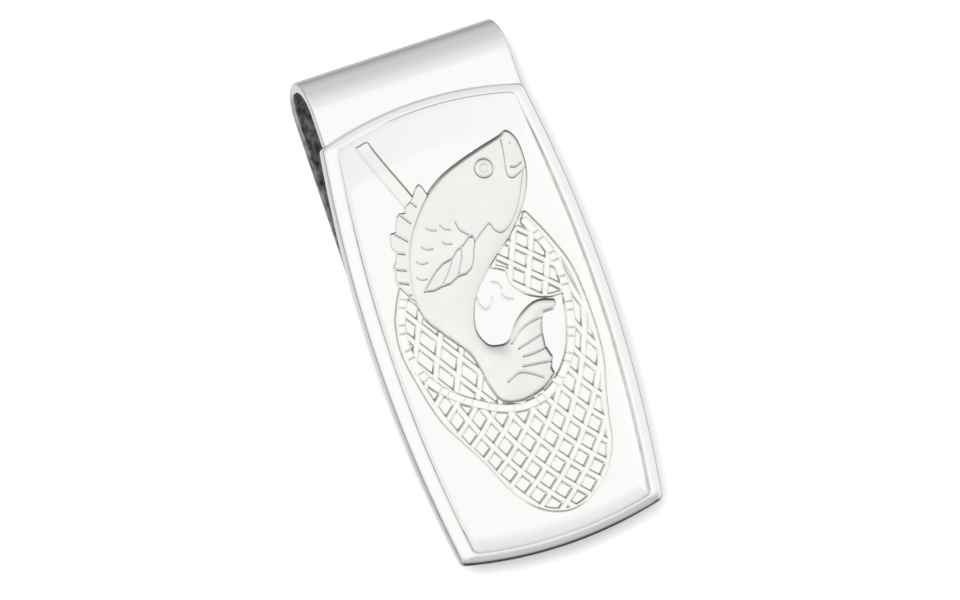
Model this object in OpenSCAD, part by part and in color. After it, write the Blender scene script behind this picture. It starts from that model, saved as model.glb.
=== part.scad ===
// Money clip: one bent strip of spring metal with a framed face plate on its front leg.
// +Z is out of the face plate, +Y runs towards the roll, and the back leg lies on z = 0.

/* [Overall] */
// Length from the plate's lower end to the top of the roll
total_len = 52.2; // [50:0.2:54]

/* [Spring strip] */
// Width of the strip
strip_w = 21.5; // [20:0.1:21.8]
// How far the strip's middle lies to the right of the plate's middle
strip_shift = 0.6; // [0:0.1:0.8]
// Thickness of the strip
strip_t = 1.1; // [0.9:0.1:1.2]
// Inner radius of the roll, half of the gap for the notes
roll_r = 2.6; // [2.4:0.1:2.8]
// How far the front leg ends short of the plate's lower end
front_leg_short = 5; // [4:0.5:8]
// Where the back leg comes closest to the front leg, from the middle of the clip
pinch_y = -17.5; // [-18:0.5:-16]
// Clearance at the pinch with the clip empty
pinch_gap = 0.2; // [0.15:0.05:0.4]
// Slope of the back leg between its flat part and the pinch, in degrees
rise_angle = 26; // [22:1:30]
// Slope of the flared tip, in degrees
flare_angle = 20; // [15:1:25]
// Length of the flared tip
flare_len = 3.2; // [2:0.1:4]
// Widest opening of the clip, in degrees
open_angle = 6; // [4:0.5:7]

/* [Face plate] */
// Width of the plate at its corners
plate_end_w = 21.8; // [21:0.1:22.4]
// How far each long side bows out past the corners
side_bow = 1.75; // [1:0.05:2.2]
// How far the end next to the roll bows out
top_bow = 1.6; // [1:0.05:2]
// How far the lower end bows out
bottom_bow = 1.3; // [1:0.05:2]
// Distance from the roll's top to the plate's corners
plate_setback = 7.25; // [6.9:0.05:7.6]
// Thickness of the plate at its rim
plate_t = 1.7; // [1.5:0.1:2]
// Depth of the panel inside the rim
recess = 0.5; // [0.4:0.05:0.6]
// Width of the rim along the sides
rim_side = 1.6; // [1.3:0.05:2]
// Width of the rim next to the roll
rim_top = 1.05; // [0.9:0.05:1.5]
// Width of the rim at the lower end
rim_bottom = 1.2; // [0.9:0.05:1.5]
// Thickness of the solder film under the plate
solder_t = 0.1; // [0.05:0.05:0.15]

/* [Relief] */
// Height of the fish over the panel
fish_h = 0.5; // [0.3:0.05:0.55]
// Height of the landing net over the panel
net_h = 0.35; // [0.2:0.05:0.45]
// Distance between neighbouring cords of the net
cord_pitch = 1.85; // [1.6:0.05:2.4]
// Width of a cord
cord_w = 0.55; // [0.4:0.05:0.7]

/* [Hidden] */
steel = [0.86, 0.87, 0.88];
satin = [0.70, 0.71, 0.72];
eps = 0.01;

// Heights
gap = 2 * roll_r;
roll_out = roll_r + strip_t;
front_z = strip_t + gap;
solder_z = front_z + strip_t;
plate_z = solder_z + solder_t;
panel_z = plate_z + plate_t - recess;

// Places along the clip
top_y = total_len / 2;
bottom_y = -total_len / 2;
roll_y = top_y - roll_out;
front_end_y = bottom_y + front_leg_short;
corner_top = top_y - plate_setback;
corner_bottom = bottom_y + bottom_bow;
plate_len = corner_top - corner_bottom;
plate_mid = (corner_top + corner_bottom) / 2;

// The roll ends short of the back leg by this angle, so that the clip can open
flex_slot = open_angle + 2;

// Radius of the arc that bows out by bow over a chord
function arc_r(chord, bow) = (pow(chord / 2, 2) + pow(bow, 2)) / (2 * bow);
half_w = plate_end_w / 2 + side_bow;
side_r = arc_r(plate_len, side_bow);
top_r = arc_r(plate_end_w, top_bow);
bottom_r = arc_r(plate_end_w, bottom_bow);

// The back leg's middle line
bend_r = 6;
crest_r = 3;
crest_z = front_z - pinch_gap - strip_t / 2;
turned = (bend_r + crest_r) * (1 - cos(rise_angle));
rise_len = (crest_z - turned - strip_t / 2) / sin(rise_angle);
bend_y = pinch_y + (bend_r + crest_r) * sin(rise_angle) + rise_len * cos(rise_angle);
steps = 8;

// Each point is [y, z, angle], where the angle is the leg's slope there
leg_line = concat(
    [[roll_y, strip_t / 2, 0]],
    [for (i = [0:steps]) let (a = rise_angle * i / steps)
        [bend_y - bend_r * sin(a), strip_t / 2 + bend_r * (1 - cos(a)), a]],
    [for (i = [0:steps]) let (a = rise_angle - (rise_angle + flare_angle) * i / steps)
        [pinch_y + crest_r * sin(a), crest_z - crest_r * (1 - cos(a)), a]],
    [[pinch_y - crest_r * sin(flare_angle) - flare_len * cos(flare_angle),
        crest_z - crest_r * (1 - cos(flare_angle)) - flare_len * sin(flare_angle), -flare_angle]]
);

function beside(line, side) = [for (p = line) [p[0] + side * sin(p[2]), p[1] + side * cos(p[2])]];
function backwards(list) = [for (i = [len(list) - 1:-1:0]) list[i]];

// A smooth closed curve through a list of points
function wrap(list, i) = list[(i + len(list)) % len(list)];
function between(a, b, c, d, t) =
    (2 * b + (c - a) * t + (2 * a - 5 * b + 4 * c - d) * t * t
    + (3 * b - a - 3 * c + d) * t * t * t) / 2;
function smooth(list, n = 3) = [for (i = [0:len(list) - 1], k = [0:n - 1])
    between(wrap(list, i - 1), list[i], wrap(list, i + 1), wrap(list, i + 2), k / n)];

// The relief's outlines, seen from above
fish_line = [
    [7.7, 15.1], [8.5, 14.3], [8.75, 12.6], [8.6, 10.6], [7.2, 7.4], [4.4, 4.4], [1.1, 1.9],
    [-1.1, -0.8], [-1.7, -2.8], [-1.2, -4.5], [0.2, -5], [2, -3.6], [4.4, -2.2], [7, -2.4],
    [7.4, -4.4], [5.6, -8.8], [1, -11.2], [-1.8, -10.8], [-2.8, -7.4], [-4.2, -3.9],
    [-6.6, -0.6], [-6.9, 2.6], [-5.5, 7.5], [-2.1, 11.4], [2.5, 13.6], [6.6, 14.6]
];
dorsal_line = [
    [-6.8, 1.8], [-7.8, 3.1], [-8.2, 4], [-7.9, 5.3], [-7.2, 6.8], [-7.4, 7.8], [-7.1, 8.7],
    [-6.4, 8.8], [-5.9, 10.1], [-4.9, 10.4], [-3.6, 11.6], [-2.7, 12.5], [-2.1, 11.4], [-5, 6]
];
bag_line = [
    [-7.8, 3.2], [-9.3, 0.3], [-9.7, -3], [-8.8, -8.2], [-6.5, -13.5], [-3.9, -18.6],
    [-0.6, -22.4], [4, -22.2], [7.6, -18], [8.8, -12.3], [9.9, -6], [9.3, 1], [6.7, 6.6], [0, 6]
];
bag_middle = [0.4, -7.5];
band_scale = 0.945;
curl_line = [[1, 2.4], [3.2, 1.4], [3.2, -0.4], [5.2, -1.7], [7.2, -2.2], [4, -4], [0, -7], [-3, -3]];
handle_line = [[-7.7, 18], [-6.2, 18.3], [-3.5, 11.8], [-4.9, 10.8]];

module across(width) {
    translate([strip_shift - width / 2, 0, 0]) rotate([90, 0, 90]) linear_extrude(width) children();
}

// Everything below an arc whose top is at the origin
module below_arc(radius, half) {
    n = 20;
    half_angle = asin(half / radius);
    depth = 2 * total_len;
    polygon(concat(
        [for (i = [-n:n]) let (a = half_angle * i / n) [radius * sin(a), radius * (cos(a) - 1)]],
        [[half, -depth], [-half, -depth]]
    ));
}

module plate_outline(side_in = 0, top_in = 0, bottom_in = 0) {
    half_len = 0.55 * plate_len;
    half_end = 0.6 * plate_end_w;
    intersection() {
        translate([half_w - side_in, plate_mid]) rotate(-90) below_arc(side_r - side_in, half_len);
        translate([side_in - half_w, plate_mid]) rotate(90) below_arc(side_r - side_in, half_len);
        translate([0, corner_top + top_bow - top_in]) below_arc(top_r - top_in, half_end);
        translate([0, bottom_y + bottom_in]) rotate(180) below_arc(bottom_r - bottom_in, half_end);
    }
}

module spring_front() {
    color(steel) {
        translate([strip_shift - strip_w / 2, front_end_y, front_z]) cube([strip_w, roll_y - front_end_y, strip_t]);
        across(strip_w) difference() {
            translate([roll_y, roll_out]) circle(roll_out, $fn = 96);
            translate([roll_y, roll_out]) circle(roll_r, $fn = 96);
            translate([roll_y - 2 * roll_out, -eps]) square([2 * roll_out, 2 * roll_out + 2 * eps]);
            translate([roll_y, roll_out]) rotate(flex_slot) translate([-2 * roll_out, -2 * roll_out])
                square([2 * roll_out, 2 * roll_out]);
        }
    }
}

module spring_back() {
    color(steel) across(strip_w)
        polygon(concat(beside(leg_line, strip_t / 2), backwards(beside(leg_line, -strip_t / 2))));
}

module solder_film() {
    inset = 1.2;
    color([0.62, 0.62, 0.64])
        translate([strip_shift - strip_w / 2 + inset, front_end_y + inset, solder_z])
        cube([strip_w - 2 * inset, corner_top - front_end_y - 2 * inset, solder_t]);
}

module face_plate() {
    color(steel) translate([0, 0, plate_z]) difference() {
        linear_extrude(plate_t) plate_outline();
        translate([0, 0, plate_t - recess]) linear_extrude(recess + eps)
            plate_outline(rim_side, rim_top, rim_bottom);
    }
}

module fish_outline() {
    polygon(smooth(fish_line));
    polygon(dorsal_line);
}

module cords() {
    reach = 40;
    for (turn = [-45, 45], i = [-12:12])
        rotate(turn) translate([i * cord_pitch - cord_w / 2, -reach]) square([cord_w, 2 * reach]);
}

module bag_band() {
    difference() {
        polygon(smooth(bag_line));
        translate(bag_middle) scale(band_scale) translate(-bag_middle) polygon(smooth(bag_line));
    }
}

module landing_net() {
    color(steel) translate([0, 0, panel_z]) linear_extrude(net_h) difference() {
        union() {
            polygon(handle_line);
            bag_band();
            intersection() {
                polygon(smooth(bag_line));
                cords();
            }
        }
        fish_outline();
        polygon(curl_line);
    }
}

module fish() {
    color(satin) translate([0, 0, panel_z]) linear_extrude(fish_h) fish_outline();
}

spring_front();
spring_back();
solder_film();
face_plate();
landing_net();
fish();
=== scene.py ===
import math

import bpy
import numpy as np
from mathutils import Matrix, Vector


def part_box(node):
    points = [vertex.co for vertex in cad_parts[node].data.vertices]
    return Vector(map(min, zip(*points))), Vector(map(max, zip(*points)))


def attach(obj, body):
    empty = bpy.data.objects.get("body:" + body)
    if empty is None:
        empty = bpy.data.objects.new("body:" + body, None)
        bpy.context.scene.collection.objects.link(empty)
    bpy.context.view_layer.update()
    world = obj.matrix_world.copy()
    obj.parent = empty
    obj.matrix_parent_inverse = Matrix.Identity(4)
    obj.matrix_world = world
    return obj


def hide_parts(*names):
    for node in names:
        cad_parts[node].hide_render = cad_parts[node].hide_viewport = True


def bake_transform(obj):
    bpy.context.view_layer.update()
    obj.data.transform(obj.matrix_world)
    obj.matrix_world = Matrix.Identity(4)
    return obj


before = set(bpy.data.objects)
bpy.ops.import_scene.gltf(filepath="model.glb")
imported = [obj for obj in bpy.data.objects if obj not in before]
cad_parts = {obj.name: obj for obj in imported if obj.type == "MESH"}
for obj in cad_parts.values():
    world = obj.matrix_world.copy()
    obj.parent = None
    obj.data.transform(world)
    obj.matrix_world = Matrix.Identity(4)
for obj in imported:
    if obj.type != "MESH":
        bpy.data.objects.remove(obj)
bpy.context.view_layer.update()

MM = 0.001


# ---------------------------------------------------------------- sizes from the frame, in mm

def node_box(name):
    low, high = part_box(name)
    return np.array(low) / MM, np.array(high) / MM


plate_low, plate_high = node_box("face_plate")
front_low, front_high = node_box("spring_front")
fish_low, fish_high = node_box("fish")
PANEL_Z = fish_low[2]
STRIP_T = 1.1
STRIP_EDGE_R = 0.24
RISE, FLARE = 26.0, 20.0
BEND_R, CREST_R = 6.0, 3.0
PINCH_Y, PINCH_GAP, FLARE_LEN = -17.5, 0.2, 3.2
SPLIT_Y = 1.0  # the strip's two pieces meet here, on the back leg
ROLL_Y = front_high[1] - front_high[2] / 2


# ---------------------------------------------------------------- curves and heights

def smoothstep(x):
    x = np.clip(x, 0, 1)
    return x * x * (3 - 2 * x)


def curve(points, per_span=6, closed=False):
    """A smooth line through the points."""
    p = np.array(points, float)
    if closed:
        p = np.vstack([p[-1], p, p[:2]])
    else:
        p = np.vstack([2 * p[0] - p[1], p, 2 * p[-1] - p[-2]])
    t = (np.arange(per_span) / per_span)[:, None]
    spans = []
    for a, b, c, d in zip(p, p[1:], p[2:], p[3:]):
        spans.append((2 * b + (c - a) * t + (2 * a - 5 * b + 4 * c - d) * t**2
                      + (3 * b - a - 3 * c + d) * t**3) / 2)
    line = np.vstack(spans)
    return line if closed else np.vstack([line, p[-2]])


def inside(x, y, outline):
    """True where a point lies inside the closed outline."""
    found = np.zeros(x.shape, bool)
    for (ax, ay), (bx, by) in zip(outline, np.roll(outline, -1, axis=0)):
        if ay == by:
            continue
        crosses = (ay > y) != (by > y)
        found ^= crosses & (x < (bx - ax) * (y - ay) / (by - ay) + ax)
    return found


def distance(x, y, line, closed=False):
    """Distance to the line, and how far along it the nearest point is."""
    ends = np.vstack([line[1:], line[:1]]) if closed else line[1:]
    best = np.full(x.shape, 1e9)
    along = np.zeros(x.shape)
    run = 0.0
    for (ax, ay), (bx, by) in zip(line, ends):
        length = math.hypot(bx - ax, by - ay)
        if length < 1e-9:
            continue
        t = np.clip(((x - ax) * (bx - ax) + (y - ay) * (by - ay)) / length**2, 0, 1)
        d = np.hypot(x - ax - t * (bx - ax), y - ay - t * (by - ay))
        nearer = d < best
        best = np.where(nearer, d, best)
        along = np.where(nearer, run + t * length, along)
        run += length
    return best, along


def depth_in(x, y, outline):
    """Distance to the outline, positive inside it."""
    d, _ = distance(x, y, outline, closed=True)
    return np.where(inside(x, y, outline), d, -d)


def groove(x, y, line, half_width):
    """1 on the line, falling to 0 at half_width."""
    d, _ = distance(x, y, line)
    return smoothstep(1 - d / half_width)


# ---------------------------------------------------------------- making pieces

def make_mesh(name, vertices, faces, material):
    """A smooth-shaded piece from points in mm."""
    mesh = bpy.data.meshes.new(name)
    mesh.from_pydata((np.asarray(vertices, float) * MM).tolist(), [], faces)
    mesh.validate()
    mesh.shade_smooth()
    piece = bpy.data.objects.new(name, mesh)
    bpy.context.scene.collection.objects.link(piece)
    mesh.materials.append(material)
    return piece


def add_painted_shade(piece, amounts):
    """How much painted shade each point gets: one number from 0 to 1 for each point."""
    layer = piece.data.attributes.new("painted_shade", "FLOAT", "POINT")
    layer.data.foreach_set("value", np.asarray(amounts, float))


def ring_faces(rings, count, first=0, wrap=True):
    """Quads between neighbouring rings of count points each."""
    quads = []
    last = count if wrap else count - 1
    for r in range(rings - 1):
        a, b = first + r * count, first + (r + 1) * count
        for i in range(last):
            j = (i + 1) % count
            quads.append((a + i, a + j, b + j, b + i))
    return quads


SUNK = -0.05  # a relief's skirt reaches this far under the panel
HOLLOW_REACH, HOLLOW_DEPTH = 0.16, 0.05  # how wide and how deep a hollow is that gets full painted shade


def blurred(z, reach):
    """Each height replaced by the mean of those around it, up to reach cells away."""
    span = 2 * reach + 1
    padded = np.pad(z, reach, mode="edge")
    rows_summed = sum(padded[i:i + z.shape[0], :] for i in range(span))
    return sum(rows_summed[:, i:i + z.shape[1]] for i in range(span)) / span**2


def relief(name, low, high, step, height, material, ground=None):
    """A raised piece over the panel, left out where its height isn't above the panel, and no
    higher than the fish's CAD solid."""
    nx = int(math.ceil((high[0] - low[0]) / step)) + 1
    ny = int(math.ceil((high[1] - low[1]) / step)) + 1
    x, y = np.meshgrid(low[0] + step * np.arange(nx), low[1] + step * np.arange(ny))
    z = height(x, y)
    over_panel = np.maximum(z, 0)
    # Painted shade in the hollows: points lower than the mean height around them are darkened, as shade
    # falls there.
    around = blurred(over_panel, round(HOLLOW_REACH / step))
    hollow = np.clip((around - over_panel) / HOLLOW_DEPTH, 0, 1)
    corner = np.arange(nx * ny).reshape(ny, nx)
    quads = np.stack([corner[:-1, :-1], corner[:-1, 1:], corner[1:, 1:], corner[1:, :-1]], -1)
    quads = quads.reshape(-1, 4)
    quads = quads[(z.ravel()[quads] > 0).any(axis=1)]
    used, quads = np.unique(quads, return_inverse=True)
    base = PANEL_Z if ground is None else PANEL_Z + ground(x, y)
    top = np.minimum(base + z, fish_high[2])
    points = np.stack([x.ravel(), y.ravel(), top.ravel()], -1)[used]
    piece = make_mesh(name, points, quads.reshape(-1, 4).tolist(), material)
    add_painted_shade(piece, hollow.ravel()[used])
    return piece


# ---------------------------------------------------------------- materials

def new_material(name, color, roughness, metallic=1.0):
    material = bpy.data.materials.new(name)
    material.use_nodes = True
    nodes = material.node_tree.nodes
    shader = nodes["Principled BSDF"]
    shader.inputs["Base Color"].default_value = (*color, 1)
    shader.inputs["Metallic"].default_value = metallic
    shader.inputs["Roughness"].default_value = roughness
    return material, nodes, material.node_tree.links, shader


def noise(nodes, links, scale, detail=3.0, stretch=(1, 1, 1)):
    place = nodes.new("ShaderNodeTexCoord")
    mapping = nodes.new("ShaderNodeMapping")
    mapping.inputs["Scale"].default_value = stretch
    texture = nodes.new("ShaderNodeTexNoise")
    texture.inputs["Scale"].default_value = scale
    texture.inputs["Detail"].default_value = detail
    links.new(place.outputs["Object"], mapping.inputs["Vector"])
    links.new(mapping.outputs["Vector"], texture.inputs["Vector"])
    return texture.outputs["Fac"]


def remap(nodes, links, source, low, high, from_low=0.35, from_high=0.65):
    spread = nodes.new("ShaderNodeMapRange")
    spread.inputs["From Min"].default_value = from_low
    spread.inputs["From Max"].default_value = from_high
    spread.inputs["To Min"].default_value = low
    spread.inputs["To Max"].default_value = high
    links.new(source, spread.inputs["Value"])
    return spread.outputs["Result"]


def bump(nodes, links, source, strength, height):
    node = nodes.new("ShaderNodeBump")
    node.inputs["Strength"].default_value = strength
    node.inputs["Distance"].default_value = height
    links.new(source, node.inputs["Height"])
    return node


def paint_wall_shade(nodes, links, shader, color, facing, steep, least):
    """Painted shade in the hollows and on the steep walls that face one way, as a darker base colour.
    """
    place = nodes.new("ShaderNodeTexCoord")
    wall = nodes.new("ShaderNodeVectorMath")
    wall.operation = "DOT_PRODUCT"
    wall.inputs[1].default_value = facing
    links.new(place.outputs["Normal"], wall.inputs[0])
    painted_shade = nodes.new("ShaderNodeAttribute")
    painted_shade.attribute_name = "painted_shade"
    amount = nodes.new("ShaderNodeMath")
    amount.operation = "MULTIPLY_ADD"
    amount.inputs[1].default_value = 0.4
    links.new(painted_shade.outputs["Fac"], amount.inputs[0])
    links.new(wall.outputs["Value"], amount.inputs[2])
    ramp = nodes.new("ShaderNodeValToRGB")
    ramp.color_ramp.elements[0].position = 0.1
    ramp.color_ramp.elements[0].color = (*color, 1)
    ramp.color_ramp.elements[1].position = steep
    ramp.color_ramp.elements[1].color = (*(least * c for c in color), 1)
    links.new(amount.outputs["Value"], ramp.inputs["Fac"])
    links.new(ramp.outputs["Color"], shader.inputs["Base Color"])


BRIGHT = (0.94, 0.932, 0.914)
# The darkest painted shade on polished metal.
PAINTED_SHADE_COLOR = (0.08, 0.079, 0.078)


def polished_metal():
    """Bright rhodium plate: near-mirror, with polishing haze and hairline scratches. Painted shade
    darkens the recesses, edges and insides that the shade attribute marks, and these are rougher too,
    where the buffing wheel doesn't reach."""
    material, nodes, links, shader = new_material("polished_metal", BRIGHT, 0.08)
    # Painted shade: the base colour goes towards the dark shade colour by the attribute, made patchy by
    # noise.
    painted_shade = nodes.new("ShaderNodeAttribute")
    painted_shade.attribute_name = "painted_shade"
    mottle = remap(nodes, links, noise(nodes, links, 1900, 6, stretch=(1, 0.45, 1)), 0.46, 1.0)
    patchy = nodes.new("ShaderNodeMath")
    patchy.operation = "MULTIPLY"
    links.new(painted_shade.outputs["Fac"], patchy.inputs[0])
    links.new(mottle, patchy.inputs[1])
    tint = nodes.new("ShaderNodeValToRGB")
    tint.color_ramp.elements[0].color = (*BRIGHT, 1)
    tint.color_ramp.elements[1].color = (*PAINTED_SHADE_COLOR, 1)
    links.new(patchy.outputs["Value"], tint.inputs["Fac"])
    links.new(tint.outputs["Color"], shader.inputs["Base Color"])
    haze = remap(nodes, links, noise(nodes, links, 260, 4), 0.07, 0.14)
    # The same attribute also raises the roughness.
    rough = nodes.new("ShaderNodeMath")
    rough.operation = "MULTIPLY_ADD"
    rough.inputs[1].default_value = 0.7
    links.new(painted_shade.outputs["Fac"], rough.inputs[0])
    links.new(haze, rough.inputs[2])
    links.new(rough.outputs["Value"], shader.inputs["Roughness"])
    scratches = noise(nodes, links, 2600, 2, stretch=(1, 0.06, 1))
    waves = noise(nodes, links, 130, 1)
    fine = bump(nodes, links, scratches, 0.05, 0.00002)
    broad = bump(nodes, links, waves, 0.10, 0.0001)
    links.new(fine.outputs["Normal"], broad.inputs["Normal"])
    links.new(broad.outputs["Normal"], shader.inputs["Normal"])
    return material


def satin_metal():
    """Bead-blasted rhodium, as on the fish."""
    color = (0.945, 0.935, 0.915)
    material, nodes, links, shader = new_material("satin_metal", color, 0.4)
    # Painted shade in the hollows and on steep walls facing +X and +Y.
    paint_wall_shade(nodes, links, shader, color, (0.6, 0.8, 0), 0.6, 0.14)
    patches = noise(nodes, links, 500, 3)
    links.new(remap(nodes, links, patches, 0.34, 0.44), shader.inputs["Roughness"])
    grain = noise(nodes, links, 9000, 2)
    links.new(bump(nodes, links, grain, 0.12, 0.00002).outputs["Normal"], shader.inputs["Normal"])
    return material


def cord_metal(name, dark_side, steep, brightness):
    """The net's finish, between the panel's polish and the fish's satin."""
    color = tuple(brightness * c for c in (0.985, 0.975, 0.955))
    material, nodes, links, shader = new_material(name, color, 0.25)
    # Painted shade in the hollows and on steep walls facing dark_side.
    paint_wall_shade(nodes, links, shader, color, dark_side, steep, 0.34)
    patches = noise(nodes, links, 700, 3)
    links.new(remap(nodes, links, patches, 0.16, 0.26), shader.inputs["Roughness"])
    grain = noise(nodes, links, 6000, 2)
    links.new(bump(nodes, links, grain, 0.08, 0.00002).outputs["Normal"], shader.inputs["Normal"])
    return material


def solder_metal():
    material, nodes, links, shader = new_material("solder", (0.5, 0.5, 0.52), 0.45)
    lumps = noise(nodes, links, 1500, 4)
    links.new(bump(nodes, links, lumps, 0.4, 0.00005).outputs["Normal"], shader.inputs["Normal"])
    return material


POLISHED = polished_metal()
SATIN = satin_metal()
CORD = cord_metal("cord_metal", (0.3, 0.95, 0), 0.7, 1.0)
HANDLE_METAL = cord_metal("handle_metal", (0.75, 0.85, 0), 0.4, 0.92)
SOLDER = solder_metal()


# ---------------------------------------------------------------- face plate

CORNER_X = 10.9
TOP_CORNER_Y, BOTTOM_CORNER_Y = plate_high[1] - 1.6, plate_low[1] + 1.3


def arc_radius(chord, bow):
    return ((chord / 2) ** 2 + bow**2) / (2 * bow)


PLATE_MID_Y = (TOP_CORNER_Y + BOTTOM_CORNER_Y) / 2
SIDE_R = arc_radius(TOP_CORNER_Y - BOTTOM_CORNER_Y, plate_high[0] - CORNER_X)
TOP_R = arc_radius(2 * CORNER_X, plate_high[1] - TOP_CORNER_Y)
BOTTOM_R = arc_radius(2 * CORNER_X, BOTTOM_CORNER_Y - plate_low[1])


def meet(a, ra, b, rb, near):
    """The point near `near` where two circles cross."""
    a, b = np.array(a, float), np.array(b, float)
    d = np.linalg.norm(b - a)
    along = (ra**2 - rb**2 + d**2) / (2 * d)
    off = math.sqrt(max(ra**2 - along**2, 0))
    u = (b - a) / d
    middle = a + along * u
    options = [middle + off * np.array([-u[1], u[0]]), middle - off * np.array([-u[1], u[0]])]
    return min(options, key=lambda p: np.linalg.norm(p - np.array(near)))


def arc_points(centre, start, end, count):
    """Points along the arc from start to end, both included."""
    c = np.array(centre, float)
    a0, a1 = (math.atan2(*(p - c)[::-1]) for p in (start, end))
    turn = (a1 - a0 + math.pi) % (2 * math.pi) - math.pi
    r = np.linalg.norm(start - c)
    angles = a0 + turn * np.linspace(0, 1, count)
    return np.stack([c[0] + r * np.cos(angles), c[1] + r * np.sin(angles)], -1)


SIDE_N, END_N, CORNER_N = 60, 36, 7
TOP_RIM, TOP_WALL, TOP_FOOT, TOP_RISE, TOP_POWER = 0.9, 0.2, 4.2, 0.46, 1.1


def panel_lift(x, y):
    """How far the panel rises towards the top rim, where the recess fades out."""
    inset = TOP_R - np.hypot(x, y - (plate_high[1] - TOP_R))
    u = np.clip((inset - TOP_RIM - TOP_WALL) / TOP_FOOT, 0, 1)
    return TOP_RISE * (1 - u) ** TOP_POWER



def plate_weights():
    """For each point of a plate ring, how much it belongs to the left, right, top and bottom."""
    columns = {"left": 0, "right": 1, "top": 2, "bottom": 3}
    order = ["bottom", "right", "top", "left"]
    blocks = []
    for i, edge in enumerate(order):
        count = SIDE_N if edge in ("left", "right") else END_N
        straight = np.zeros((count, 4))
        straight[:, columns[edge]] = 1
        corner = np.zeros((CORNER_N, 4))
        t = np.linspace(0, 1, CORNER_N + 2)[1:-1]
        corner[:, columns[edge]] = 1 - t
        corner[:, columns[order[(i + 1) % 4]]] += t
        blocks += [straight, corner]
    return np.vstack(blocks)


def plate_ring(left, right, top, bottom, corner_r):
    """The plate's outline, drawn in by a different amount at each edge, with rounded corners."""
    centres = {
        "right": ((plate_high[0] - SIDE_R, PLATE_MID_Y), SIDE_R - right),
        "top": ((0, plate_high[1] - TOP_R), TOP_R - top),
        "left": ((SIDE_R - plate_high[0], PLATE_MID_Y), SIDE_R - left),
        "bottom": ((0, plate_low[1] + BOTTOM_R), BOTTOM_R - bottom),
    }
    order = ["bottom", "right", "top", "left"]
    corners = {
        ("bottom", "right"): (CORNER_X, BOTTOM_CORNER_Y), ("right", "top"): (CORNER_X, TOP_CORNER_Y),
        ("top", "left"): (-CORNER_X, TOP_CORNER_Y), ("left", "bottom"): (-CORNER_X, BOTTOM_CORNER_Y),
    }
    crossing = {
        pair: meet(*centres[pair[0]], *centres[pair[1]], near) for pair, near in corners.items()
    }
    arcs = {}
    for i, edge in enumerate(order):
        start = crossing[(order[i - 1], edge)]
        end = crossing[(edge, order[(i + 1) % 4])]
        dense = arc_points(centres[edge][0], start, end, 400)
        run = np.linalg.norm(dense[-1] - dense[0])
        trim = corner_r / run
        count = SIDE_N if edge in ("left", "right") else END_N
        at = np.linspace(trim, 1 - trim, count) * 399
        arcs[edge] = np.stack([np.interp(at, range(400), dense[:, k]) for k in (0, 1)], -1)
    ring = []
    t = np.linspace(0, 1, CORNER_N + 2)[1:-1, None]
    for i, edge in enumerate(order):
        following = order[(i + 1) % 4]
        a, b, c = arcs[edge][-1], crossing[(edge, following)], arcs[following][0]
        ring += [arcs[edge], (1 - t) ** 2 * a + 2 * t * (1 - t) * b + t**2 * c]
    return np.vstack(ring)


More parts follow.
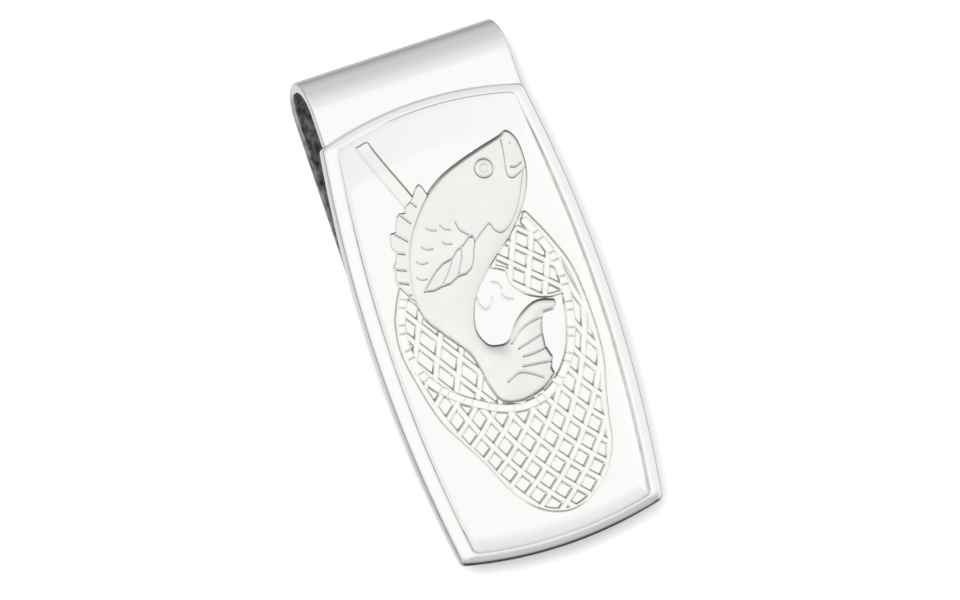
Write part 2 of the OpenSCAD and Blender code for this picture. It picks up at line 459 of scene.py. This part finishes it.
def build_plate():
    z0, z1 = plate_low[2], plate_high[2]
    edge_r, low_r = 0.4, 0.2
    inner_r = np.array([0.1, 0.1, 0.02, 0.1])
    rim_widths = np.array([1.45, 1.25, TOP_RIM, 1.05])
    wall_widths = np.array([0.2, 0.15, TOP_WALL, 0.22])
    foot_widths = np.array([0.4, 1.0, TOP_FOOT, 1.8])
    foot_rise = np.array([0.1, 0.12, TOP_RISE, 0.28])
    foot_power = np.array([2.2, 2.2, TOP_POWER, 2.2])
    rounding = np.array([0.35, 0.35, 0.35, 0.55])
    bevel = np.array([0.02, 0.0, 0.16, 0.26])
    # Painted shade on each side, as left, right, top, bottom: in the recess, and on the outer rounded
    # edge.
    recess_shade = np.array([0.6, 0.4, 0.0, 0.1])
    edge_shade = np.array([0.3, 0.1, 0.0, 0.3])
    rings, painted_shade = [], []
    weights = plate_weights()
    rim_x = plate_ring(*rim_widths, 0.5)[:, 0]
    inner_drop = (weights @ inner_r) * (1 - weights[:, 2] * smoothstep((2 - rim_x) / 7))

    def add(z, inset=0.0, rim=0.0, wall=0.0, foot=0.0, edge=0.0, corner_r=0.5,
            in_recess=0.0, on_edge=0.0):
        """inset in mm; rim, wall, foot and edge in widths of those parts; rim also sets the bevel."""
        insets = inset + rim * rim_widths + wall * wall_widths + foot * foot_widths + edge * rounding
        ring = plate_ring(*insets, corner_r)
        lower_end = smoothstep((-19 - ring[:, 1]) / 5)
        drop = weights @ (bevel * (1 - np.minimum(insets / rim_widths, 1)))
        lift = (1 - foot) ** (weights @ foot_power) * np.maximum(weights @ foot_rise, 0.26 * lower_end)
        lift = (wall > 0) * np.maximum(lift, panel_lift(ring[:, 0], ring[:, 1]))
        rings.append(np.column_stack([ring, z - drop * (z > z0 + 0.5) + lift]))
        # Painted shade fades out towards the top; on the outer edge it stays full along the bottom end.
        below_top = smoothstep((17.5 - ring[:, 1]) / 8)
        side_end = weights[:, 3] + (1 - weights[:, 3]) * smoothstep((2 - ring[:, 1]) / 18)
        painted_shade.extend(in_recess * (weights @ recess_shade) * below_top
                     + on_edge * (weights @ edge_shade) * side_end)

    add(z0, inset=1.2)
    for a in np.linspace(0, 90, 5):
        s, c = math.sin(math.radians(a)), math.cos(math.radians(a))
        add(z0 + low_r * (1 - c), inset=low_r * (1 - s))
    for a in np.linspace(0, 90, 12):
        s, c = math.sin(math.radians(a)), math.cos(math.radians(a))
        # Painted shade on the outer rounding, full at its side and none on top.
        shade_on_rounding = smoothstep(1.4 - 1.4 * s)
        add(z1 - 0.02 - edge_r * (1 - s), edge=1 - c, corner_r=0.5 + 0.2 * s, on_edge=shade_on_rounding)
    for u in np.linspace(0.6, 0.9, 6):
        add(z1 - 0.02 * ((u - 0.75) / 0.25) ** 2, rim=u, corner_r=0.6)
    for a in np.linspace(10, 90, 5):
        s, c = math.sin(math.radians(a)), math.cos(math.radians(a))
        z = z1 - 0.01 - inner_drop * (1 - c)
        add(z, inset=inner_r * (s - 1), rim=1, corner_r=0.5, in_recess=0.5 * s)
    add(PANEL_Z + 0.01, wall=0.75, rim=1, corner_r=0.4, in_recess=1)
    for u in np.linspace(0, 1, 10):
        add(PANEL_Z, wall=1, rim=1, foot=u, corner_r=0.4, in_recess=float(u == 0))
    last = rings[-1]
    middle = np.array([0, PLATE_MID_Y, PANEL_Z])
    shrink = np.linspace(1, 0.04, 14)[1:]
    for k in shrink:
        rings.append(middle + (last - middle) * [k, k, 1])
        painted_shade.extend([0.0] * len(last))
    count = len(last)
    faces = ring_faces(len(rings), count)
    total = len(rings) * count
    faces.append(tuple(range(total - count, total)))
    faces.append(tuple(reversed(range(count))))
    piece = make_mesh("plate", np.vstack(rings), faces, POLISHED)
    add_painted_shade(piece, painted_shade)
    return piece


# ---------------------------------------------------------------- spring strip

def leg_path():
    """Stations along the strip's middle line: y, z, and the direction's angle in the YZ plane."""
    half_t = STRIP_T / 2
    roll_z = front_high[2] / 2
    r_mid = roll_z - half_t
    stations = [(y, front_high[2] - half_t, 0.0) for y in np.linspace(front_low[1], ROLL_Y, 30)]
    for a in np.linspace(0, 180, 61)[1:]:
        rad = math.radians(a)
        stations.append((ROLL_Y + r_mid * math.sin(rad), roll_z + r_mid * math.cos(rad), -a))
    rise = math.radians(RISE)
    crest_z = front_high[2] - STRIP_T - PINCH_GAP - half_t
    turned = (BEND_R + CREST_R) * (1 - math.cos(rise))
    rise_len = (crest_z - turned - half_t) / math.sin(rise)
    bend_y = PINCH_Y + (BEND_R + CREST_R) * math.sin(rise) + rise_len * math.cos(rise)
    stations += [(y, half_t, -180.0) for y in np.linspace(ROLL_Y, bend_y, 24)[1:]]
    for a in np.linspace(0, RISE, 12)[1:]:
        rad = math.radians(a)
        z = half_t + BEND_R * (1 - math.cos(rad))
        stations.append((bend_y - BEND_R * math.sin(rad), z, -180 - a))
    for a in np.linspace(RISE, -FLARE, 20):
        rad = math.radians(a)
        z = crest_z - CREST_R * (1 - math.cos(rad))
        stations.append((PINCH_Y + CREST_R * math.sin(rad), z, -180 - a))
    flare = math.radians(FLARE)
    y_end = PINCH_Y - CREST_R * math.sin(flare)
    z_end = crest_z - CREST_R * (1 - math.cos(flare))
    for s in np.linspace(0, FLARE_LEN, 12)[1:]:
        stations.append((y_end - s * math.cos(flare), z_end - s * math.sin(flare), -180 + FLARE))
    return np.array(stations)


def strip_section(half_w, half_t, edge_r, scale_t=1.0):
    """The strip's cross-section: x across, n along the surface normal."""
    points = []
    flat = half_w - edge_r
    for sx, sn, start in ((1, 1, 90), (1, -1, 0), (-1, -1, -90), (-1, 1, -180)):
        for a in np.linspace(start, start - 90, 7):
            rad = math.radians(a)
            points.append((sx * flat + edge_r * math.cos(rad),
                           (sn * (half_t - edge_r) + edge_r * math.sin(rad)) * scale_t))
        if sx != sn:
            inner = flat - 0.15
            points += [(sx * inner, -half_t * scale_t * sx), (0, -half_t * scale_t * sx),
                       (-sx * inner, -half_t * scale_t * sx)]
    return np.array(points)


def strip_painted_shade(section, stations):
    """Painted shade on the inside of the clip and on the back leg's edges past the roll; both are also
    left unpolished.
    """
    n = section[:, 1]
    edge = smoothstep((n.max() - n) / 0.4)
    from_roll = ROLL_Y - stations[:, 0]
    # The inner face gets painted shade along the whole strip; the edges get it past the roll's far
    # side, more away from the roll.
    amounts = 0.5 * smoothstep((-stations[:, 2] - 100) / 50) + 0.4 * smoothstep(from_roll / 3)
    amounts = amounts * (stations[:, 2] < -90)
    return np.concatenate([
        np.maximum(0.95 * (n < n.min() + 0.02), edge * amount) for amount in amounts])


def build_strip(name, stations, round_start=False, round_end=False):
    middle_x = (front_low[0] + front_high[0]) / 2
    half_w = (front_high[0] - front_low[0]) / 2
    steps = np.r_[0, np.cumsum(np.hypot(*np.diff(stations[:, :2], axis=0).T))]
    length = steps[-1]
    corner, nose = 1.5, 0.5
    rings = []
    for (y, z, angle), s in zip(stations, steps):
        to_end = min(s if round_start else 9e9, length - s if round_end else 9e9)
        narrow = corner - math.sqrt(max(corner**2 - max(corner - to_end, 0) ** 2, 0))
        thin = math.sqrt(max(1 - max(1 - to_end / nose, 0) ** 2, 0.0025))
        section = strip_section(half_w - narrow, STRIP_T / 2, STRIP_EDGE_R, thin)
        rad = math.radians(angle)
        normal = np.array([-math.sin(rad), math.cos(rad)])
        rings.append(np.column_stack([
            middle_x + section[:, 0], y + section[:, 1] * normal[0], z + section[:, 1] * normal[1]]))
    count = len(rings[0])
    faces = ring_faces(len(rings), count)
    total = len(rings) * count
    faces = [tuple(reversed(f)) for f in faces]
    if round_start:
        faces.append(tuple(range(count)))
    if round_end:
        faces.append(tuple(reversed(range(total - count, total))))
    piece = make_mesh(name, np.vstack(rings), faces, POLISHED)
    add_painted_shade(piece, strip_painted_shade(strip_section(half_w, STRIP_T / 2, STRIP_EDGE_R), stations))
    return piece


# ---------------------------------------------------------------- relief: outlines, in mm

FISH_EDGE = curve([
    (6.95, -2.45), (5.2, -2.0), (3.6, -2.5), (2.0, -3.7), (1.0, -4.9), (0, -5.05), (-1.1, -4.6),
    (-1.7, -3.0), (-1.2, -1.0), (-0.3, 0.5), (1.1, 1.9), (2.4, 3.0), (4.3, 4.4), (6.0, 6.0),
    (7.1, 7.4), (8.0, 8.9), (8.6, 10.6), (8.75, 12.6), (8.45, 14.2), (7.7, 15.05), (6.7, 14.7),
    (4.4, 14.15), (2.2, 13.55), (0.2, 12.85), (-1.2, 12.1), (-2.4, 11.2), (-3.7, 9.8),
    (-4.9, 8.3), (-5.8, 6.7), (-6.4, 5.0), (-6.8, 3.2), (-7.0, 1.4), (-6.6, -0.5), (-5.5, -2.2),
    (-4.2, -3.9), (-3.2, -5.4), (-2.8, -7.2), (-2.5, -8.8), (-1.8, -10.5), (-0.6, -11.1),
    (1.0, -11.2), (3.0, -10.7), (4.6, -9.6)])
TAIL_EDGE = np.array([
    (4.5, -8.9), (4.95, -7.9), (4.6, -6.6), (4.75, -5.2), (5.0, -4.4), (5.4, -3.6), (6.5, -3.6),
    (7.0, -3.0)])
FISH = np.vstack([FISH_EDGE, TAIL_EDGE])
DORSAL = np.array([
    (-6.6, 1.2), (-7.3, 1.9), (-7.85, 2.9), (-8.2, 3.95), (-7.9, 4.8), (-8.0, 5.35), (-7.5, 5.9),
    (-7.15, 6.75), (-7.45, 7.3), (-7.35, 8.0), (-7.1, 8.75), (-6.5, 8.75), (-6.3, 9.3),
    (-5.95, 10.05), (-5.5, 10.4), (-4.95, 10.3), (-4.75, 10.85), (-4.1, 11.2), (-3.65, 11.6),
    (-3.1, 12.3), (-2.6, 12.6), (-2.3, 12.2), (-2.0, 11.2), (-3.5, 9.2), (-5.5, 6.0), (-6.3, 3.0)])
DORSAL_RAYS = [
    [(-4.1, 11.2), (-3.6, 10.5)], [(-5.4, 10.1), (-4.7, 9.1)], [(-6.6, 8.5), (-5.6, 7.5)],
    [(-7.2, 6.75), (-6.3, 6.35)], [(-7.9, 5.25), (-6.7, 4.75)], [(-8.1, 3.95), (-6.9, 3.4)],
    [(-7.9, 2.35), (-7.0, 2.3)]]
TAIL_RAYS = [
    [(1.2, -5.4), (2.5, -4.4), (3.9, -3.95), (5.3, -3.85)], [(1.7, -6.1), (3.0, -5.8), (4.4, -5.4)],
    [(1.9, -7.0), (3.2, -7.0), (4.7, -6.75)], [(1.5, -7.9), (3.0, -8.1), (4.7, -8.3)],
    [(-0.5, -8.9), (0.9, -8.4), (2.0, -8.8), (3.2, -9.6)]]
PECTORAL = np.array([
    (0.9, 5.9), (0.4, 5.95), (-0.4, 5.35), (-1.2, 5.05), (-1.9, 4.45), (-3.0, 4.25), (-3.9, 3.75),
    (-4.7, 3.1), (-5.7, 2.2), (-4.7, 2.0), (-3.8, 2.15), (-2.9, 2.15), (-1.9, 2.6), (-1.0, 2.6),
    (-0.3, 3.0), (0.2, 3.7), (0.6, 4.7), (0.95, 5.4)])
PECTORAL_RAYS = [[(-0.6, 5.1), (-1.0, 4.1), (-1.7, 2.9)], [(-2.0, 4.2), (-2.9, 3.1), (-3.7, 2.3)]]
SCALES = [
    [(-3.4, 8.1), (-3.0, 7.75), (-2.5, 7.6)], [(-2.0, 8.0), (-1.6, 7.45), (-1.1, 7.25)],
    [(-4.5, 6.5), (-4.1, 6.1), (-3.4, 5.95)], [(-2.3, 6.3), (-2.0, 6.0), (-1.4, 5.85)],
    [(-5.5, 5.3), (-5.1, 4.9), (-4.4, 4.8)], [(-6.0, 3.8), (-5.6, 3.4), (-5.0, 3.3)]]
HEAD_LINES = [
    [(6.9, 14.2), (6.7, 12.8), (6.4, 11.2), (6.4, 10.5), (6.8, 10.2), (7.4, 10.4), (8.5, 10.9)],
    [(6.9, 11.3), (7.4, 11.15), (8.1, 11.4)],
    [(-0.35, 7.8), (-0.2, 7.0), (0.2, 6.5), (0.8, 5.95)],
    [(0.95, 5.4), (1.6, 5.85), (2.2, 6.25), (2.95, 6.6), (3.3, 5.8), (3.9, 5.4), (4.9, 5.85),
     (6.0, 6.95), (6.9, 8.3), (7.7, 9.9), (8.3, 10.9)]]
SMALL_FIN = [
    [(-0.7, -0.1), (-0.65, -0.8), (-0.2, -1.4), (0.4, -1.2), (0.85, -0.5)],
    [(1.3, 1.0), (1.8, 0.7), (2.1, 0.1)], [(1.9, -0.5), (2.2, -1.0), (2.8, -1.25)]]
EYE, EYE_R, PUPIL_R = (4.25, 12.0), 0.95, 0.42
NOSTRIL = (7.65, 13.6)

BAG = curve([
    (-7.85, 3.1), (-8.6, 1.8), (-9.3, 0.2), (-9.7, -1.8), (-9.7, -3.6), (-9.3, -5.9), (-8.7, -8.6),
    (-7.9, -11.0), (-6.5, -13.5), (-5.0, -16.2), (-3.9, -18.6), (-2.5, -20.7), (-0.6, -22.2),
    (1.7, -22.75), (4.0, -22.1), (6.0, -20.5), (7.5, -17.8), (8.1, -15.0), (8.7, -12.5),
    (9.5, -9.6), (9.8, -6.0), (9.7, -2.2), (9.3, 0.6), (8.2, 3.5), (6.8, 6.4)])
HOOP = curve([
    (-7.5, 2.9), (-8.45, 1.2), (-9.15, -0.9), (-9.25, -3.0), (-8.75, -5.3), (-7.6, -7.2),
    (-6.0, -8.8), (-4.4, -9.9), (-2.4, -11.0), (-0.6, -11.6), (1.2, -11.7), (3.2, -11.2),
    (5.2, -9.8), (6.7, -7.9), (7.7, -5.4), (8.2, -3.0), (8.4, -1.0), (8.3, 1.0), (7.9, 2.6),
    (7.3, 4.2), (6.6, 5.7)])
BLANK = np.array([
    (1.6, 2.4), (3.15, 1.45), (3.2, 0.1), (4.4, -1.25), (5.6, -1.85), (6.6, -2.15), (8.2, -2.2),
    (8.0, -4.0), (7.1, -6.5), (5.9, -8.4), (4.4, -10), (-1, -9), (-3, -3), (-2.5, 1), (0, 3)])
BLANK_EDGE = curve([
    (1.8, 2.55), (3.15, 1.7), (3.2, 0.9), (3.35, 0.1), (4.4, -1.1), (5.6, -1.75), (6.6, -2.05),
    (8.0, -2.1)])
HANDLE = curve([(-6.95, 18.4), (-6.3, 16.5), (-5.65, 14.8), (-4.9, 13.0), (-4.2, 11.3), (-3.8, 10.3)])


# ---------------------------------------------------------------- relief: heights over the panel

def wall(d, width, rise):
    """From under the panel outside an outline to rise at width inside it."""
    return SUNK + (rise - SUNK) * smoothstep((d + 0.03) / (width + 0.03))


def lines_cut(x, y, lines, half_width, smooth=True):
    cut = np.zeros(x.shape)
    for line in lines:
        path = curve(line, 5) if smooth else np.array(line, float)
        cut = np.maximum(cut, groove(x, y, path, half_width))
    return cut


def fish_height(x, y):
    d = depth_in(x, y, FISH)
    tail = smoothstep((x + 0.6) / 2.6) * smoothstep((-3.0 - y) / 1.0)
    scoop = np.exp(-((x - 0.1) ** 2 + (y + 5.3) ** 2) / 1.6**2)
    brow = smoothstep((y - 9.5) / 2.5) * smoothstep((8.2 - x) / 1.2)
    dome = 1 - np.exp(-np.clip(d, 0, None) / (0.55 + 0.3 * scoop + 0.25 * brow + 0.2 * tail))
    rise = 0.26 - 0.15 * scoop - 0.06 * tail
    width = 0.3 + 0.14 * np.maximum(brow, tail)
    body = wall(d, width, rise) + (0.23 + 0.15 * scoop * (1 - tail)) * dome
    fin = wall(depth_in(x, y, DORSAL), 0.2, 0.20)
    fin = fin - 0.08 * lines_cut(x, y, DORSAL_RAYS, 0.16) * (fin > 0.1)
    body -= 0.07 * lines_cut(x, y, TAIL_RAYS, 0.17) * (d > 0.1)
    body -= 0.055 * lines_cut(x, y, SCALES, 0.13)
    body -= 0.075 * lines_cut(x, y, HEAD_LINES, 0.14) * (d > 0.2)
    pectoral_edge = np.abs(depth_in(x, y, PECTORAL))
    body -= 0.09 * smoothstep(1 - pectoral_edge / 0.14)
    body -= 0.08 * lines_cut(x, y, PECTORAL_RAYS, 0.14)
    eye = np.hypot(x - EYE[0], y - EYE[1])
    body -= 0.085 * smoothstep(1 - np.abs(eye - EYE_R) / 0.14)
    body += 0.05 * smoothstep((EYE_R - 0.1 - eye) / 0.4)
    body -= 0.06 * smoothstep(1 - np.abs(eye - PUPIL_R) / 0.12)
    body -= 0.05 * smoothstep(1 - np.hypot(x - NOSTRIL[0], y - NOSTRIL[1]) / 0.2)
    ridge = lines_cut(x, y, SMALL_FIN, 0.16)
    small = np.where(ridge > 0, 0.04 * ridge, SUNK)
    h = np.maximum(np.maximum(body, fin), small)
    return np.minimum(h, fish_high[2] - PANEL_Z)


def arcs(x, y, centre, first, pitch):
    """Which of a set of concentric cords a point is nearest, as a fraction, and their pitch."""
    return (np.hypot(x - centre[0], y - centre[1]) - first) / pitch, pitch


def rows(x, y, normal, first, pitch):
    """The same for straight, parallel cords."""
    return (normal[0] * x + normal[1] * y - first) / pitch, pitch


CORD_HALF, CORD_WALL = 0.43, 0.25
HANDLE_WIDTH, HANDLE_ROUND = 1.72, 0.45


def flat_bar(d, half, wall_width, height):
    """Height across a bar with a nearly flat top and steep sides."""
    crown = 0.03 * np.clip(1 - (d / half) ** 2, 0, 1)
    return np.where(d < half, (height + crown) * smoothstep((half - d) / wall_width), 0)


def woven(one, other):
    """Two families of cords that pass over and under one another."""
    heights = []
    for (line, pitch), (crossing, _), sign in ((one, other, 1), (other, one, -1)):
        number = np.round(line)
        over = 0.5 + sign * 0.5 * np.cos(math.pi * (crossing + number))
        heights.append(flat_bar(np.abs(line - number) * pitch, CORD_HALF, CORD_WALL, 0.2 + 0.05 * over))
    return np.maximum(*heights)


def cord_heights(x, y):
    bag = woven(arcs(x, y, (27.6, 2.4), 35.9, 1.86), arcs(x, y, (-17.2, 3.3), 18.65, 1.82))
    left = woven(rows(x, y, (0.823, 0.568), -8.1, 1.7), rows(x, y, (0.894, -0.447), -3.85, 2.3))
    right = woven(rows(x, y, (0.67, 0.74), 5.9, 1.75), rows(x, y, (0.91, -0.41), 4.45, 1.85))
    return np.where(inside(x, y, HOOP), np.where(x < 0, left, right), bag)


def net_height(x, y):
    bag = depth_in(x, y, np.vstack([BAG, [(2, 5), (-4, 4)]]))
    hoop_d, hoop_s = distance(x, y, HOOP)
    edge_d, _ = distance(x, y, BAG)
    blank_d, _ = distance(x, y, BLANK_EDGE)
    cords = np.where((bag > 0) & ~inside(x, y, BLANK) & (hoop_d > 0.35), cord_heights(x, y), 0)
    on_right = smoothstep((x - 5) / 3)
    border = flat_bar(edge_d, 0.28 + 0.14 * on_right, 0.2 + 0.14 * on_right, 0.22 + 0.04 * on_right)
    edge = np.maximum(border, flat_bar(blank_d, 0.26, 0.16, 0.2))
    hoop = flat_bar(hoop_d, 0.55, 0.2, 0.3)
    binding = hoop_s % 2.6
    tick = np.minimum(np.abs(binding - 0.9), np.abs(binding - 1.75))
    hoop = hoop - 0.06 * smoothstep(1 - tick / 0.12) * (hoop > 0.1)
    h = np.maximum(np.maximum(cords, edge), hoop)
    under_fish = (depth_in(x, y, FISH) > 0.1) | (depth_in(x, y, DORSAL) > 0.1)
    return np.where((h <= 0) | under_fish, SUNK, h)


def handle_height(x, y):
    """A straight bar, steep on its right and round at its top right corner, lower on its left."""
    d, s = distance(x, y, HANDLE)
    half = 0.66 + 0.16 * smoothstep(s / 5)
    across = np.copysign(d, x - np.interp(y, HANDLE[::-1, 1], HANDLE[::-1, 0]))
    from_right = half - across
    from_left = HANDLE_WIDTH - from_right
    from_top = 18.15 + 0.2 * (x + 6.95) - y
    corner = np.hypot(np.maximum(HANDLE_ROUND - from_right, 0), np.maximum(HANDLE_ROUND - from_top, 0))
    height = 0.24 - 0.07 * np.clip(from_right / HANDLE_WIDTH, 0, 1)
    h = np.minimum(wall(HANDLE_ROUND - corner, 0.38, height), wall(from_left, 0.3, height))
    under_fish = (depth_in(x, y, FISH) > 0.1) | (depth_in(x, y, DORSAL) > 0.1)
    return np.where((h <= 0) | under_fish, SUNK, h)


# ---------------------------------------------------------------- the pieces

plate = build_plate()
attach(plate, "front")
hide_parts("face_plate")

stations = leg_path()
split = int(np.argmin(np.abs(stations[:, 0] - SPLIT_Y) + 100 * (stations[:, 2] > -179)))
strip = build_strip("spring_strip", stations[:split + 1], round_start=True)
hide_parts("spring_front")
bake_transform(strip)

tip = build_strip("back_leg_tip", stations[split:], round_end=True)
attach(tip, "root")
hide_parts("spring_back")

GRID = 0.055
fish = relief("fish_relief", (-8.5, -11.5), (9.0, 15.4), GRID, fish_height, SATIN)
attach(fish, "front")
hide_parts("fish")

net = relief("net_relief", (-10.1, -23.1), (10.2, 6.8), GRID, net_height, CORD)
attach(net, "front")
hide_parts("landing_net")

handle = relief("net_handle", (-8.2, 9.6), (-3.0, 18.8), GRID, handle_height,
                HANDLE_METAL, ground=panel_lift)
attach(handle, "front")

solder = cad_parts["solder_film"]
solder.data.materials.clear()
solder.data.materials.append(SOLDER)


# ---------------------------------------------------------------- stage, light and camera

def build_floor():
    size = 4.0
    mesh = bpy.data.meshes.new("floor")
    corners = [(-size, -size, 0), (size, -size, 0), (size, size, 0), (-size, size, 0)]
    mesh.from_pydata(corners, [], [(0, 1, 2, 3)])
    floor = bpy.data.objects.new("floor", mesh)
    bpy.context.scene.collection.objects.link(floor)
    material, _, _, shader = new_material("floor", (0.88, 0.88, 0.88), 0.9, metallic=0.0)
    mesh.materials.append(material)
    floor.visible_glossy = False


def set_ramp(ramp, stops):
    """Grey stops given as (height of the direction, from -1 to 1, and value)."""
    while len(ramp.elements) < len(stops):
        ramp.elements.new(0.5)
    for element, (height, value) in zip(ramp.elements, stops):
        element.position = (height + 1) / 2
        element.color = (value, value, value, 1)


def range_to_one(nodes, links, source, low, high=None):
    """A value mapped so that low gives 0 and high, or 1 if it isn't given, gives 1."""
    spread = nodes.new("ShaderNodeMapRange")
    spread.inputs["From Min"].default_value = low
    if high is not None:
        spread.inputs["From Max"].default_value = high
    links.new(source, spread.inputs["Value"])
    return spread.outputs["Result"]


def grey_ramp(nodes, links, source, stops):
    ramp = nodes.new("ShaderNodeValToRGB")
    set_ramp(ramp.color_ramp, stops)
    links.new(source, ramp.inputs["Fac"])
    return ramp.outputs["Color"]


def mixed(nodes, links, amount, one, other):
    """The first color where amount is 0 and the second where it is 1."""
    mix = nodes.new("ShaderNodeMix")
    mix.data_type = "RGBA"
    for source, socket in ((amount, 0), (one, 6), (other, 7)):
        links.new(source, mix.inputs[socket])
    return mix.outputs[2]


def white_background(nodes, strength):
    background = nodes.new("ShaderNodeBackground")
    background.inputs["Color"].default_value = (1, 1, 1, 1)
    background.inputs["Strength"].default_value = strength
    return background.outputs["Background"]


def mixed_shaders(nodes, links, amount, one, other):
    mix = nodes.new("ShaderNodeMixShader")
    for source, socket in ((amount, 0), (one, 1), (other, 2)):
        links.new(source, mix.inputs[socket])
    return mix.outputs["Shader"]


def build_world():
    """A white tent, brightest overhead, dark beyond the plate's lower end and with a bright panel
    at each side. Only reflections see it: soft light and the backdrop are plain white."""
    world = bpy.data.worlds.new("tent")
    bpy.context.scene.world = world
    world.use_nodes = True
    nodes, links = world.node_tree.nodes, world.node_tree.links
    nodes.clear()
    place = nodes.new("ShaderNodeTexCoord")
    parts = nodes.new("ShaderNodeSeparateXYZ")
    links.new(place.outputs["Generated"], parts.inputs["Vector"])
    height = range_to_one(nodes, links, parts.outputs["Z"], -1)
    tent = grey_ramp(nodes, links, height, [
        (-1, 0.78), (-0.85, 0.6), (-0.6, 0.35), (-0.36, 0.5), (-0.12, 0.6), (0.1, 0.64),
        (0.36, 0.66), (0.6, 0.74), (0.79, 0.85), (0.9, 0.9), (0.955, 1.03), (1, 1.05)])
    near_end = grey_ramp(nodes, links, height, [
        (-1, 0.7), (-0.8, 0.04), (-0.1, 0.04), (0.15, 0.14), (0.4, 0.45), (0.6, 0.56), (0.78, 0.6),
        (0.9, 0.84), (0.945, 0.99), (0.97, 1.02), (1, 1.05)])
    side_panels = grey_ramp(nodes, links, height, [
        (-1, 0.7), (-0.5, 0.5), (-0.1, 0.3), (0.02, 0.36), (0.12, 0.9), (0.5, 1.0), (0.75, 0.88),
        (1, 1.0)])
    to_near_end = range_to_one(nodes, links, parts.outputs["Y"], -0.05, -0.4)
    sideways = nodes.new("ShaderNodeMath")
    sideways.operation = "ABSOLUTE"
    links.new(parts.outputs["X"], sideways.inputs[0])
    to_side = range_to_one(nodes, links, sideways.outputs["Value"], 0.42, 0.6)
    ends = mixed(nodes, links, to_near_end, tent, near_end)
    reflected = nodes.new("ShaderNodeBackground")
    links.new(mixed(nodes, links, to_side, ends, side_panels), reflected.inputs["Color"])
    path = nodes.new("ShaderNodeLightPath").outputs
    on_surfaces = mixed_shaders(nodes, links, path["Is Diffuse Ray"],
                                reflected.outputs["Background"], white_background(nodes, 0.75))
    seen = mixed_shaders(nodes, links, path["Is Camera Ray"], on_surfaces, white_background(nodes, 1.0))
    output = nodes.new("ShaderNodeOutputWorld")
    links.new(seen, output.inputs["Surface"])


def build_lamp():
    lamp = bpy.data.lights.new("soft_key", "SUN")
    lamp.energy = 3.0
    lamp.angle = math.radians(20)
    key = bpy.data.objects.new("soft_key", lamp)
    key.rotation_euler = Vector((-0.36, 0.11, 1.0)).to_track_quat("Z", "Y").to_euler()
    key.visible_glossy = False
    bpy.context.scene.collection.objects.link(key)


def build_camera():
    lean_left, lean_down, roll = math.radians(16.65), math.radians(1.0), math.radians(19.5)
    target = Vector((-0.57 * MM, -0.33 * MM, plate_high[2] * MM))
    away = Vector((-math.tan(lean_left), -math.tan(lean_down), 1)).normalized()
    reach, view_width = 2.0, 0.09524
    up = Vector((math.sin(roll), math.cos(roll), 0))
    up = (up - up.dot(away) * away).normalized()
    right = up.cross(away)
    data = bpy.data.cameras.new("camera")
    data.sensor_width = 36
    data.lens = data.sensor_width * reach / view_width
    data.clip_end = 10
    camera = bpy.data.objects.new("camera", data)
    place = Matrix((right, up, away)).transposed().to_4x4()
    place.translation = target + away * reach
    camera.matrix_world = place
    bpy.context.scene.collection.objects.link(camera)
    bpy.context.scene.camera = camera


build_floor()
build_world()
build_lamp()
build_camera()
bpy.context.scene.view_settings.view_transform = "Standard"
